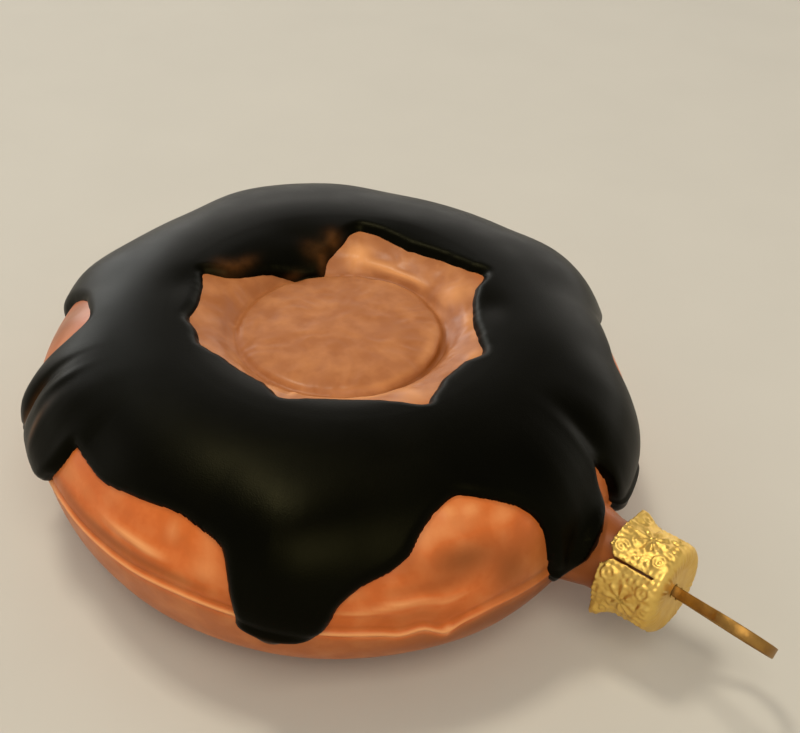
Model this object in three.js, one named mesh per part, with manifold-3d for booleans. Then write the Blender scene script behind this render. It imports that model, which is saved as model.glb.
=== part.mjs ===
// A blown-glass hanging ornament in the shape of an iced ring doughnut, lying flat.
// Four pieces: the glass ring with its closed middle and its neck, the layer of dark icing
// raised on it, the gilt crown cap over the neck, and the flat-strip hanger held by the cap.
// Millimetres, +Z up, the neck along +X. The origin is under the middle of the whole, on the
// surface it lies on. Until it is placed, every piece is built about the ring's own axis,
// with height zero at the seam.

import * as THREE from 'three';
import { mergeVertices } from 'three/addons/utils/BufferGeometryUtils.js';
import Module from 'manifold-3d';

const wasm = await Module();
wasm.setup();

// Ring: its radius at the seam, as [angle anticlockwise from the neck, radius].
const SEAM_RADII = [
  [0, 40.6], [30, 39.5], [52, 38.6], [75, 41], [100, 42.3], [120, 43.6], [150, 45.4],
  [172, 43.7], [195, 42.1], [210, 41.3], [240, 40.5], [265, 41.2], [285, 42.5], [310, 43.6],
  [332, 43.2],
];
const MEAN_RADIUS = 42;
const RING_CENTRE = { x: -11.35, y: -0.2, z: 12.6 };

// The closed middle of the upper side, and the crest of the ring round it.
const DISC = { radius: 13.4, height: 11.45, dome: 0.45 };
const GROOVE = { radius: 14.1, height: 10.75 };
const RIM = { radius: 16.6, height: 12.55 };
const CREST = { radius: 23.4, height: 14.1 };
const SIDE_FULLNESS = 2.2;

// The seam line left by the mould, and the lower side with its flat foot.
const SEAM = { halfWidth: 0.8, proud: 0.35 };
const FOOT = { depth: 12.6, outer: 25.5, inner: 19.5 };
const HOLLOW = { radius: 13.4, depth: 10 };
const UNDERSIDE_FULLNESS = 2;

// Neck: a glass tube that flares into the ring, on an axis just below the seam.
const NECK = {
  radius: 4.6, end: 51.6, height: -1.2, // the tube
  flareRadius: 6.6, flareStart: 38, flareEnd: 44, root: 34, // where it widens into the ring
};
const BORE = { radius: 3.2, depth: 6 };

// Icing: thickness, the space under it, the width over which its edge rounds down, how far the
// drips stand out as ridges, and how far it rises over the seam line and the neck. A ridge grows
// from the crest down, and is full where the outer edge is far over the skin.
const ICING = {
  thickness: 0.6, gap: 0.35, roundOver: 1.6, seamRise: 0.55, neckRise: 0.65,
  ridge: { height: 1, from: 30, full: 42, valleyEdge: 42, dripEdge: 51 },
};

// The icing's two edges: [angle from the neck, distance over the skin from the disc's centre].
const INNER_EDGE = [
  [2, 19.4], [17, 21.3], [39, 18.8], [59, 20.4], [66, 23], [80, 21.1], [100, 19.7],
  [127, 22.2], [138, 17.2], [150, 15.4], [180, 17.6], [195, 21.7], [213, 20.6], [228, 21.2],
  [246, 20], [272, 17.4], [292, 19.9], [325, 19.5], [340, 22.8],
];
const OUTER_EDGE = [
  [5, 42.5], [9, 49], [14.5, 53], [22, 50.5], [28, 45], [36, 41.2], // right drip
  [50, 41.6], [58, 46], [66, 51], [77, 51], [88, 43], // drip behind the right side
  [104, 41], [120, 43], [132, 50], [146, 52.5], [158, 49], [168, 43], // drip at the back
  [178, 43], [189, 46], [199, 51], [204, 46], // drip behind the left side
  [207, 41], [212, 37], [222, 36.3], [227.6, 43], // bare dough on the left
  [233.8, 51], [238, 43], [240.5, 50.2], [246, 51], [253, 47.6], // two drips at the left
  [256.9, 40.6], [283, 40.2], [293.5, 41.4], [297.8, 49], // bare dough at the front left
  [301, 50.4], [308.5, 50], [312, 47], [315.5, 44.2], [324, 40.8], // front drip
  [330, 37.3], [335, 36.5], [346, 41.2], // bare dough at the front right
  [348.5, 51], [352.8, 52.3], [357.5, 51], [361, 48], // drip beside the neck
];
const EDGE_STEP = 2.7;

// Cap: a thin crown with four petals, and the strip that makes the hanger.
const CAP = { radius: 5.65, wall: 0.4, top: 53.6, mouth: 45.6, flare: 0.4, rounding: 1.2 };
const SLIT = { width: 0.5, length: 7.6, firstAngle: 44, notch: 2.2 };
const STRIP = { width: 1.3, thickness: 0.5 };
const LOOP = { radius: 4.75, reach: 12.8, legSpacing: 2.6, legInside: 3.6, droop: 4, roll: 48.6 };
const LEG_HOLE_RADIUS = 1.05;

const RING_SEGMENTS = 72;
const NECK_SEGMENTS = 28;
const CAP_SEGMENTS = 32;

const degrees = THREE.MathUtils.degToRad;

// A smooth closed curve through [angle, value] pairs that never swings past them.
function roundTheRing(pairs, angleInDegrees) {
  const first = pairs[0][0];
  const angle = first + THREE.MathUtils.euclideanModulo(angleInDegrees - first, 360);
  const at = (i) => {
    const turns = Math.floor(i / pairs.length);
    const [a, v] = pairs[i - turns * pairs.length];
    return [a + 360 * turns, v];
  };
  const slope = (i) => (at(i + 1)[1] - at(i)[1]) / (at(i + 1)[0] - at(i)[0]);
  const tangent = (i) => {
    const [before, after] = [slope(i - 1), slope(i)];
    return before * after <= 0 ? 0 : (2 * before * after) / (before + after);
  };
  let i = 0;
  while (at(i + 1)[0] <= angle) i += 1;
  const [[a0, v0], [a1, v1]] = [at(i), at(i + 1)];
  const span = a1 - a0;
  const t = (angle - a0) / span;
  return (
    v0 * (1 + 2 * t) * (1 - t) ** 2 +
    v1 * t ** 2 * (3 - 2 * t) +
    span * (tangent(i) * t * (1 - t) ** 2 - tangent(i + 1) * t ** 2 * (1 - t))
  );
}

// Quarter of a rounded square from (outer, 0) to (inner, height), in so many steps.
function quarter(inner, outer, height, fullness, steps) {
  return Array.from({ length: steps + 1 }, (_, k) => {
    const turn = (k / steps) * (Math.PI / 2);
    const out = Math.max(0, Math.cos(turn)) ** (2 / fullness);
    const up = Math.sin(turn) ** (2 / fullness);
    return new THREE.Vector2(inner + (outer - inner) * out, height * up);
  });
}

// Half section of the ring, from the top of the disc over the crest and the seam to the middle
// of the underside.
function ringSection() {
  const upper = quarter(CREST.radius, MEAN_RADIUS, CREST.height, SIDE_FULLNESS, 9).reverse();
  const lower = quarter(FOOT.outer, MEAN_RADIUS, -FOOT.depth, UNDERSIDE_FULLNESS, 7);
  return [
    new THREE.Vector2(0, DISC.height + DISC.dome),
    new THREE.Vector2(DISC.radius * 0.6, DISC.height + 0.7 * DISC.dome),
    new THREE.Vector2(DISC.radius - 0.4, DISC.height),
    new THREE.Vector2(GROOVE.radius, GROOVE.height),
    new THREE.Vector2(GROOVE.radius + 0.8, GROOVE.height + 0.4),
    new THREE.Vector2(RIM.radius, RIM.height),
    new THREE.Vector2(0.55 * RIM.radius + 0.45 * CREST.radius, 0.3 * RIM.height + 0.7 * CREST.height),
    ...upper.slice(0, -1),
    new THREE.Vector2(MEAN_RADIUS, SEAM.halfWidth),
    new THREE.Vector2(MEAN_RADIUS + SEAM.proud, 0),
    new THREE.Vector2(MEAN_RADIUS, -SEAM.halfWidth),
    ...lower.slice(1),
    new THREE.Vector2(FOOT.inner, -FOOT.depth),
    new THREE.Vector2(0.5 * (FOOT.inner + HOLLOW.radius), -0.6 * FOOT.depth - 0.4 * HOLLOW.depth),
    new THREE.Vector2(HOLLOW.radius, -HOLLOW.depth),
    new THREE.Vector2(0, -HOLLOW.depth),
  ];
}

// The ring's true radius where the even section has this one.
function stretched(radius, angle) {
  if (radius <= DISC.radius) return radius;
  const share = (radius - DISC.radius) / (MEAN_RADIUS - DISC.radius);
  const seamRadius = roundTheRing(SEAM_RADII, THREE.MathUtils.radToDeg(angle));
  return DISC.radius + share * (seamRadius - DISC.radius);
}

// Turns a lathe's upright axis to +Z, with its profile in the order top to bottom.
function lathe(profile, segments) {
  const geometry = new THREE.LatheGeometry([...profile].reverse(), segments);
  geometry.rotateX(Math.PI / 2);
  return geometry;
}

function solidOf(geometry) {
  const bare = geometry.clone();
  bare.deleteAttribute('normal');
  bare.deleteAttribute('uv');
  const merged = mergeVertices(bare, 1e-3);
  return new wasm.Manifold(
    new wasm.Mesh({
      numProp: 3,
      vertProperties: Float32Array.from(merged.attributes.position.array),
      triVerts: Uint32Array.from(merged.index.array),
    }),
  );
}

function geometryOf(solid) {
  const mesh = solid.getMesh();
  const geometry = new THREE.BufferGeometry();
  geometry.setAttribute('position', new THREE.BufferAttribute(mesh.vertProperties, 3));
  geometry.setIndex(new THREE.BufferAttribute(mesh.triVerts, 1));
  return geometry;
}

// A turned piece about the neck's axis, its profile given from its far end back along +X.
function turnedOnNeck(profile, segments) {
  const geometry = lathe(profile, segments);
  geometry.rotateY(Math.PI / 2);
  geometry.translate(0, 0, NECK.height);
  return geometry;
}

function ringGeometry() {
  const geometry = lathe(ringSection(), RING_SEGMENTS);
  const position = geometry.attributes.position;
  for (let i = 0; i < position.count; i += 1) {
    const [x, y] = [position.getX(i), position.getY(i)];
    const radius = Math.hypot(x, y);
    if (radius > DISC.radius) {
      const scale = stretched(radius, Math.atan2(y, x)) / radius;
      position.setXY(i, x * scale, y * scale);
    }
  }
  return geometry;
}

function neckRadius(x) {
  const t = THREE.MathUtils.clamp((NECK.flareEnd - x) / (NECK.flareEnd - NECK.flareStart), 0, 1);
  return NECK.radius + (NECK.flareRadius - NECK.radius) * t ** 2;
}

function neckGeometry() {
  const flare = Array.from({ length: 6 }, (_, k) => {
    const x = THREE.MathUtils.lerp(NECK.flareEnd, NECK.flareStart, k / 5);
    return new THREE.Vector2(neckRadius(x), x);
  });
  return turnedOnNeck(
    [
      new THREE.Vector2(0, NECK.end - BORE.depth),
      new THREE.Vector2(BORE.radius, NECK.end - BORE.depth),
      new THREE.Vector2(BORE.radius, NECK.end),
      new THREE.Vector2(NECK.radius, NECK.end),
      ...flare,
      new THREE.Vector2(NECK.flareRadius, NECK.root),
      new THREE.Vector2(0, NECK.root),
    ],
    NECK_SEGMENTS,
  );
}

function doughGeometry() {
  const boreSpace = turnedOnNeck(
    [
      new THREE.Vector2(0, NECK.end + 1),
      new THREE.Vector2(BORE.radius, NECK.end + 1),
      new THREE.Vector2(BORE.radius, NECK.end - BORE.depth),
      new THREE.Vector2(0, NECK.end - BORE.depth),
    ],
    NECK_SEGMENTS,
  );
  return geometryOf(solidOf(ringGeometry()).add(solidOf(neckGeometry())).subtract(solidOf(boreSpace)));
}

// The skin of the ring as a curve, for measuring distances over it from the disc's centre.
const SKIN = new THREE.SplineCurve(ringSection());
const SKIN_LENGTH = SKIN.getLength();

// A point so far over the skin, lifted off it, at an angle round the ring. It passes over the
// seam line, and outside the neck where that leaves the ring.
function overSkin(distance, angle, lift) {
  const { x: out, y: up } = SKIN.getPointAt(distance / SKIN_LENGTH);
  const tangent = SKIN.getTangentAt(distance / SKIN_LENGTH);
  const overSeam = ICING.seamRise * Math.max(0, 1 - Math.abs(up) / (4 * SEAM.halfWidth));
  const height = up + lift * tangent.x;
  const radius = stretched(out - lift * tangent.y, angle) + overSeam;
  const point = new THREE.Vector3(radius * Math.cos(angle), radius * Math.sin(angle), height);

  const fromAxis = Math.hypot(point.y, point.z - NECK.height);
  const clear = neckRadius(point.x) + ICING.neckRise + lift;
  if (point.x > NECK.flareStart && fromAxis < clear) {
    point.y *= clear / fromAxis;
    point.z = NECK.height + ((point.z - NECK.height) * clear) / fromAxis;
  }
  return point;
}

// Angles round the ring at even steps along the outer edge, so that the sides of the drips are
// as finely divided as their tips.
function edgeAngles() {
  const fine = 2880;
  const travelled = [0];
  for (let k = 1; k <= fine; k += 1) {
    const [from, to] = [((k - 1) * 360) / fine, (k * 360) / fine];
    const rise = roundTheRing(OUTER_EDGE, to) - roundTheRing(OUTER_EDGE, from);
    travelled.push(travelled[k - 1] + Math.hypot(rise, degrees(to - from) * MEAN_RADIUS));
  }
  const columns = Math.round(travelled[fine] / EDGE_STEP);
  const angles = [];
  let k = 0;
  for (let column = 0; column < columns; column += 1) {
    const goal = (column / columns) * travelled[fine];
    while (travelled[k + 1] <= goal) k += 1;
    const part = (goal - travelled[k]) / (travelled[k + 1] - travelled[k]);
    angles.push(((k + part) * 360) / fine);
  }
  return angles;
}

// Icing on the ring: a band from the inner edge over the crest to the drips, rounded down to
// both edges, with its underside just clear of the skin.
function icingGeometry() {
  const angles = edgeAngles();
  const edges = angles.map((angle) => ({
    angle,
    inner: roundTheRing(INNER_EDGE, angle),
    outer: roundTheRing(OUTER_EDGE, angle),
  }));
  const distanceToEdge = (angle, distance) =>
    edges.reduce((least, edge) => {
      const turn = degrees(THREE.MathUtils.euclideanModulo(angle - edge.angle + 180, 360) - 180);
      return Math.min(
        least,
        Math.hypot(turn * MEAN_RADIUS, distance - edge.outer),
        Math.hypot(turn * CREST.radius, distance - edge.inner),
      );
    }, Infinity);

  const topShares = [0, 0.008, 0.035, 0.1, 0.23, 0.4, 0.58, 0.75, 0.88, 0.955, 0.985, 1];
  const underShares = [0.89, 0.78, 0.66, 0.54, 0.42, 0.3, 0.19, 0.09];
  const { ridge } = ICING;
  const liftAt = (angle, outer, distance) => {
    const near = Math.min(1, distanceToEdge(angle, distance) / ICING.roundOver);
    const roundOver = Math.sqrt(1 - (1 - near) ** 2);
    const fullness =
      THREE.MathUtils.smoothstep(distance, ridge.from, ridge.full) *
      THREE.MathUtils.smoothstep(outer, ridge.valleyEdge, ridge.dripEdge);
    return ICING.gap + (ICING.thickness + ridge.height * fullness) * roundOver;
  };

  const rows = topShares.length + underShares.length;
  const loop = Array.from({ length: rows + 1 }, (_, k) => {
    const turn = (k / rows) * 2 * Math.PI;
    return new THREE.Vector2(MEAN_RADIUS + Math.cos(turn), Math.sin(turn));
  });
  const geometry = new THREE.LatheGeometry(loop, edges.length);
  const position = geometry.attributes.position;
  for (let column = 0; column <= edges.length; column += 1) {
    const { angle, inner, outer } = edges[column % edges.length];
    const place = (share, lifted) => {
      const distance = inner + share * (outer - inner);
      const lift = lifted ? liftAt(angle, outer, distance) : ICING.gap;
      return overSkin(distance, degrees(angle), lift);
    };
    const section = [
      ...topShares.map((share) => place(share, share > 0 && share < 1)),
      ...underShares.map((share) => place(share, false)),
    ].reverse();
    for (let row = 0; row <= rows; row += 1) {
      const point = section[row % rows];
      position.setXYZ(column * (rows + 1) + row, point.x, point.y, point.z);
    }
  }
  return geometry;
}

// The hanger's own axes: out of the cap, across the loop, and along the strip's width.
function hangerFrame() {
  const out = new THREE.Vector3(Math.cos(degrees(LOOP.droop)), 0, -Math.sin(degrees(LOOP.droop)));
  const across = new THREE.Vector3(0, -1, 0).applyAxisAngle(out, -degrees(LOOP.roll));
  const width = new THREE.Vector3().crossVectors(out, across);
  return new THREE.Matrix4()
    .makeBasis(out, across, width)
    .setPosition(CAP.top, 0, NECK.height);
}

// A flat strip bent to a round loop, with both legs going into the cap side by side.
function hangerGeometry() {
  const centre = LOOP.reach - LOOP.radius;
  const leg = LOOP.legSpacing / 2;
  const middle = LOOP.radius - STRIP.thickness / 2;
  const arc = Array.from({ length: 11 }, (_, k) => {
    const turn = degrees(-130 + 26 * k);
    return new THREE.Vector3(centre + middle * Math.cos(turn), middle * Math.sin(turn), 0);
  });
  const path = new THREE.CatmullRomCurve3(
    [
      new THREE.Vector3(-LOOP.legInside, -leg, 0),
      new THREE.Vector3(0, -leg, 0),
      ...arc,
      new THREE.Vector3(0, leg, 0),
      new THREE.Vector3(-LOOP.legInside, leg, 0),
    ],
    false,
    'centripetal',
  );
  const [w, t] = [STRIP.width / 2, STRIP.thickness / 2];
  const section = new THREE.Shape([
    new THREE.Vector2(-w, -t),
    new THREE.Vector2(w, -t),
    new THREE.Vector2(w, t),
    new THREE.Vector2(-w, t),
  ]);
  const geometry = new THREE.ExtrudeGeometry(section, { steps: 44, extrudePath: path });
  geometry.applyMatrix4(hangerFrame());
  return geometry;
}

function capGeometry() {
  const rim = CAP.radius + CAP.flare;
  const corner = Array.from({ length: 5 }, (_, k) => {
    const turn = degrees(90 - 22.5 * k);
    const inside = CAP.radius - CAP.rounding;
    return new THREE.Vector2(
      inside + CAP.rounding * Math.cos(turn),
      CAP.top - CAP.rounding + CAP.rounding * Math.sin(turn),
    );
  });
  const outside = [
    new THREE.Vector2(0, CAP.top),
    ...corner,
    new THREE.Vector2(CAP.radius, CAP.mouth + 3),
    new THREE.Vector2(rim, CAP.mouth),
  ];
  const inside = [
    new THREE.Vector2(rim - CAP.wall, CAP.mouth),
    new THREE.Vector2(CAP.radius - CAP.wall, CAP.mouth + 3),
    new THREE.Vector2(CAP.radius - CAP.wall, CAP.top - CAP.rounding),
    new THREE.Vector2(CAP.radius - CAP.rounding, CAP.top - CAP.wall),
    new THREE.Vector2(0, CAP.top - CAP.wall),
  ];
  let cap = solidOf(turnedOnNeck([...outside, ...inside], CAP_SEGMENTS));

  for (let petal = 0; petal < 4; petal += 1) {
    const angle = degrees(SLIT.firstAngle + 90 * petal);
    const slit = new THREE.BoxGeometry(SLIT.length, 3, SLIT.width);
    slit.translate(CAP.mouth + SLIT.length / 2 - 0.5, CAP.radius, 0);
    const notch = new THREE.BoxGeometry(SLIT.notch, 3, SLIT.notch);
    notch.rotateY(Math.PI / 4);
    notch.translate(CAP.mouth - 0.3, CAP.radius, 0);
    for (const cut of [slit, notch]) {
      cut.rotateX(angle);
      cut.translate(0, 0, NECK.height);
      cap = cap.subtract(solidOf(cut));
    }
  }

  for (const side of [-1, 1]) {
    const hole = new THREE.CylinderGeometry(LEG_HOLE_RADIUS, LEG_HOLE_RADIUS, 3, 16);
    hole.rotateZ(Math.PI / 2);
    hole.translate(0, (side * LOOP.legSpacing) / 2, 0);
    hole.applyMatrix4(hangerFrame());
    cap = cap.subtract(solidOf(hole));
  }
  return geometryOf(cap);
}

function piece(name, geometry, colour, roughness, metalness) {
  const material = new THREE.MeshStandardMaterial({ color: colour, roughness, metalness });
  const mesh = new THREE.Mesh(geometry, material);
  mesh.name = name;
  return mesh;
}

const ornament = new THREE.Group();
ornament.add(
  piece('dough', doughGeometry(), 0xb8743c, 0.4, 0),
  piece('icing', icingGeometry(), 0x14120f, 0.35, 0),
  piece('cap', capGeometry(), 0xd6ad51, 0.35, 0.9),
  piece('hanger', hangerGeometry(), 0xb18948, 0.3, 0.9),
);
ornament.position.set(RING_CENTRE.x, RING_CENTRE.y, RING_CENTRE.z);

export default ornament;
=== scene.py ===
"""A blown-glass hanging ornament in the shape of an iced ring doughnut, lying flat.

Four pieces: the glass ring lacquered like fried dough, with its closed middle and its neck,
the raised icing lacquered dark brown, nearly black, the embossed gilt crown cap, and the bent
strip that it hangs by. Shapes are worked out in millimetres about the ring's own axis, with
height zero at the mould's seam and the neck along +X, and are then put in the frame.
"""
import math
from bisect import bisect_right

import bmesh
import bpy
from mathutils import Matrix, Vector, kdtree, noise


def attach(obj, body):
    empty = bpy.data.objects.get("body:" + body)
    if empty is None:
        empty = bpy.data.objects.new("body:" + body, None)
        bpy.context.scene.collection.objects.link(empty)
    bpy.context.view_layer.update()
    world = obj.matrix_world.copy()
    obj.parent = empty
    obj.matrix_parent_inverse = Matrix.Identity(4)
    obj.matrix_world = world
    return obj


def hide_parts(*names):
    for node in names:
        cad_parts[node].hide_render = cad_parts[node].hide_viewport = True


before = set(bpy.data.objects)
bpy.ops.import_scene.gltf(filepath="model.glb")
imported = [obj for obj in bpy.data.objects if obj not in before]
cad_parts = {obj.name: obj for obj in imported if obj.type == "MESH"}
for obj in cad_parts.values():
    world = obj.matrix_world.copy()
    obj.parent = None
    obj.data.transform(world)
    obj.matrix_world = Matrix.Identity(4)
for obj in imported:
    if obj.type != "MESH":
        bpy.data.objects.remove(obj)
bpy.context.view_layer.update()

bl_info = {
    "name": "Glass Doughnut Ornament",
    "version": (1, 0, 0),
    "blender": (4, 5, 0),
    "location": "3D View > Sidebar > Ornament",
    "description": "Builds a blown-glass doughnut ornament with icing, cap and hanger",
    "category": "Add Mesh",
}

MM = 0.001

# Where the ring's axis meets the plane of the seam, in the frame.
RING_CENTRE = Vector((-11.35, -0.2, 12.6)) * MM

# The ring's radius at the seam, as [angle anticlockwise from the neck, radius].
SEAM_RADII = [
    (0, 40.6), (30, 39.5), (52, 38.6), (75, 41), (100, 42.3), (120, 43.6), (150, 45.4),
    (172, 43.7), (195, 42.1), (210, 41.3), (240, 40.5), (265, 41.2), (285, 42.5), (310, 43.6),
    (332, 43.2),
]
MEAN_RADIUS = 42

# Half section of the ring: the closed middle, the crest, the sides and the flat foot.
DISC_RADIUS = 13.4
DISC_PROFILE = [  # radius and height, from the middle of the disc to the crest
    (0, 11.9), (4, 11.86), (8, 11.76), (11.2, 11.6), (12.8, 11.42), (13.35, 11.15),
    (13.75, 10.8), (14.25, 10.78), (15.0, 11.4), (16.2, 12.4), (18.2, 13.3), (20.8, 13.92),
]
DISC_SHIFT = {"far": 0.75, "angle": 130, "all": -0.1}  # the disc lies a little off centre
CREST = (23.4, 14.1)
SIDE_FULLNESS = 2.2
UNDERSIDE_FULLNESS = 2
FOOT = {"depth": 12.6, "outer": 25.5, "inner": 19.5}
HOLLOW = {"radius": 13.4, "depth": 10}

# The mould's seam: its height round the ring as [angle, height], and its ridge.
SEAM_HEIGHTS = [
    (0, -0.4), (25, 0.3), (60, 0.9), (105, 0.1), (150, 0.8), (195, 0.3), (228, 0.9),
    (250, 1.6), (257, 1.9), (267, 1.6), (276, 1.7), (286, 2.05), (297, 1.7), (311, 0.6),
    (318, 0.25), (321.5, -0.3), (324.5, 0.1), (328.2, -1.1), (332, -0.2), (337, 0.3), (350, -0.3),
]
SEAM_REACH = 7  # how far above and below it the surface follows the seam

# The neck: its tube's radius, end and height, the flare that joins it to the ring, how softly
# the two blend and how far out that reaches, and its bore.
NECK = {"radius": 4.6, "end": 51.6, "height": -1.2, "flare_end": 44, "flare_length": 6,
        "flare_spread": 2, "blend": 1.4, "blend_reach": 6, "bore": 3.2, "bore_depth": 6}

# Soft ridges and hollows of the bare dough: angle, distance over the skin, half widths along
# the ring in degrees and over the skin in mm, and height in mm.
DOUGH_LUMPS = [
    (276, 45.3, 6, 0.7, 0.42), (282, 46, 4, 0.9, 0.16), (291.5, 45.2, 3.5, 1.6, 0.25),
    (285, 41.9, 1.8, 1.3, 0.2), (259, 43, 3.5, 2, 0.12), (277, 48.4, 14, 1, -0.16),
    (314.5, 47.5, 3, 0.5, 0.3), (318.5, 47.3, 2.2, 0.5, 0.25), (321.5, 46.7, 2.4, 0.5, 0.34),
    (325.5, 46.8, 3, 0.55, 0.28), (330, 47.1, 3, 0.6, 0.22), (334, 49, 2.5, 1, 0.15),
    (321, 48.9, 7, 0.8, -0.18), (331.3, 37.8, 1.3, 0.9, 0.2), (335.3, 38.3, 1.5, 0.9, 0.2),
    (342.5, 41.5, 3, 1.6, 0.2), (320.5, 44.1, 1.6, 0.8, 0.16), (330, 43.2, 6, 2.6, -0.22),
    (340, 46.5, 4, 2.5, -0.12), (217, 39.5, 3, 3, 0.22), (35, 47, 8, 1.5, 0.2),
    (328.6, 51.2, 1.1, 1.2, 0.18),
    (14, 13.8, 20, 0.45, -0.3), (100, 14, 30, 0.8, 0.3), (170, 14, 28, 0.8, 0.3),
    (230, 14, 24, 0.8, 0.22),
    (125, 17.5, 8, 1, 0.42), (113, 16.8, 8, 0.6, 0.4), (100, 16.5, 8, 0.5, 0.42),
    (88, 16.4, 7, 0.5, 0.24), (66, 18.4, 6, 1.4, 0.3), (42, 18.2, 6, 0.9, 0.28),
    (14, 20.6, 5, 1, 0.25), (203, 18, 9, 1.5, 0.16), (292, 16.5, 1.6, 2.2, 0.2),
    (262, 17.2, 12, 1, 0.14), (340, 19.5, 4, 2, 0.2), (172, 15.4, 10, 0.8, -0.2),
]

# The small waves and creases of the closed middle: scales for each mm, heights in mm.
MOTTLING = {"bend": 2.2, "bend_scale": 0.16, "wave": 0.1, "wave_scale": 0.36,
            "crease": 0.16, "crease_scale": 0.42, "crease_width": 0.07}
MIDDLE = {"reach": 21, "fade": 27}  # the middle's own brown, as distances over the skin

# The icing's two edges: [angle from the neck, distance over the skin from the disc's centre].
INNER_EDGE = [
    (5, 20.2), (14.5, 21.8), (24, 20.3), (38, 19), (48, 19.4), (60, 20.9), (67, 23.4),
    (74, 22), (88, 20.8), (102, 20.2), (112, 21), (124.5, 22.2), (128.5, 21.3), (132, 19),
    (135.5, 17.8), (139, 16.9), (142, 15.1), (150, 14.3), (158, 15), (170, 16.6), (185, 18),
    (191, 19.4), (195.5, 22.2), (199, 21.6), (208, 20.5), (216, 20.3), (226.5, 21.1),
    (235, 20.2), (243, 20.4), (250, 19.5), (257, 18.5), (272, 18.3), (280, 18.4), (286, 19.3),
    (292, 20.6), (300, 19.6), (308, 19.1), (318, 19.4), (326, 20.1), (333, 21.5), (340, 23.3),
    (343, 22.4), (347, 21.6), (354, 20.4),
]
OUTER_EDGE = [
    (5.2, 43), (8.6, 48.6), (13.5, 54), (19, 53.6), (24, 50), (29, 44.5), (36, 41.2),
    (50, 41.6), (58, 46), (66, 51), (77, 51), (88, 43),  # drip behind the right side
    (104, 41), (120, 43), (132, 50), (146, 52.5), (158, 49), (168, 43),  # drip at the back
    (178, 43), (189, 46), (199, 51), (204, 46),  # drip behind the left side
    (207, 41), (212, 37), (221, 35.2), (226.5, 38), (229.4, 44),  # bare dough, two drips
    (231.8, 50.6), (233.6, 51.6), (236.8, 49.6), (239.8, 50.6), (246, 51.2), (250.6, 50.6),
    (253.4, 47.6), (255.4, 43.5), (256.3, 41.4), (266, 41.9), (275, 40.8), (284, 40.1),
    (290, 40.9), (293.6, 41.9), (295.3, 44.5),  # bare dough at the front left
    (296.4, 48), (297.3, 51), (299.5, 52), (302.5, 52.6), (306, 51.6), (309.6, 50.4),
    (311, 48.8), (312.2, 46.6),  # front drip
    (315.6, 44.4), (320.5, 42.9), (323.4, 41.6), (325.6, 39.6), (329.4, 37.5), (333.6, 36.4),
    (337, 37.3), (342, 39.3), (345.6, 41.6), (347.6, 44.2),  # bare dough at the front right
    (347.9, 47), (348.2, 50), (349.6, 52.6), (351.6, 52.8), (353, 51.4), (354.4, 49),
    (357, 48.6), (362, 47), (363.8, 44.6),  # by the neck
]
EDGE_WAVE = {"height": 0.1, "radius": 17}  # how the hand-painted edge wanders, in mm

# The icing's end on the neck: its reach along the neck at one angle round the neck's axis,
# and how far it falls back above and below that, over a span in degrees. It holds within so
# many degrees of the neck, from a distance over the skin.
NECK_EDGE = {"reach": 44, "middle": 135, "span": 75, "upper_fall": 3.7, "lower_fall": 3.6,
             "within": 15, "from": 35}

# The drips stand out more than the rest: distances over the skin where that begins and is
# full, how far the outer edge reaches between drips and at one, and degrees to even it over.
RIDGE = {"from": 30, "full": 42, "valley_edge": 42, "drip_edge": 51, "blend": 5}

# Cap: four petals with slits between them. Its top and mouth are places along the neck.
CAP = {"top": 53.6, "mouth": 45.6, "flare": 0.4, "rounding": 1.2, "slit_angle": 44,
       "slit_length": 6.4, "slit_width": 0.3, "notch": 1.3, "leg_hole": 0.85}

# Hanger: its loop's outer radius, how far it turns to each side of its far end in degrees,
# its reach out of the cap, its two legs, and its tilt and roll in degrees.
HANGER = {"loop": 4.75, "loop_turn": 130, "reach": 12.8, "leg_spacing": 2.6,
          "leg_inside": 3.6, "droop": 4, "roll": 48.6}

# The camera: where it stands about the ring's centre, and where that falls in the picture.
PICTURE = {"width": 800, "height": 733, "centre": (340.4, 397.2), "focal_pixels": 1274}


# ---------------------------------------------------------------- helpers for numbers

def clamp01(value):
    return min(1.0, max(0.0, value))


def smoothstep(value, low, high):
    t = clamp01((value - low) / (high - low))
    return t * t * (3 - 2 * t)


def smooth_max(a, b, blend):
    """The larger of two values, rounded over where they are about the same."""
    h = clamp01(0.5 + 0.5 * (b - a) / blend)
    return a * (1 - h) + b * h + blend * h * (1 - h)


def degrees_between(a, b):
    """The signed angle from b to a, between -180 and 180 degrees."""
    return (a - b + 180) % 360 - 180


def soft_spot(x, y):
    """A round spot that is 1 in its middle and fades out smoothly."""
    return math.exp(-(x * x + y * y))


class Spots:
    """Soft spots over the skin: angle, distance over it, half widths in degrees and mm, and
    strength. They are sorted by whole degrees, so that only the near ones are added up."""

    def __init__(self, spots):
        self.near = [[] for _ in range(361)]
        for spot in spots:
            for k in range(361):
                if abs(degrees_between(k + 0.5, spot[0])) < 3 * spot[2] + 1:
                    self.near[k].append(spot)

    def __call__(self, angle, distance):
        total = 0.0
        for at, over, wide, tall, strength in self.near[int(angle % 360)]:
            y = (distance - over) / tall
            if -3 < y < 3:
                total += strength * soft_spot(degrees_between(angle, at) / wide, y)
        return total


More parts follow.
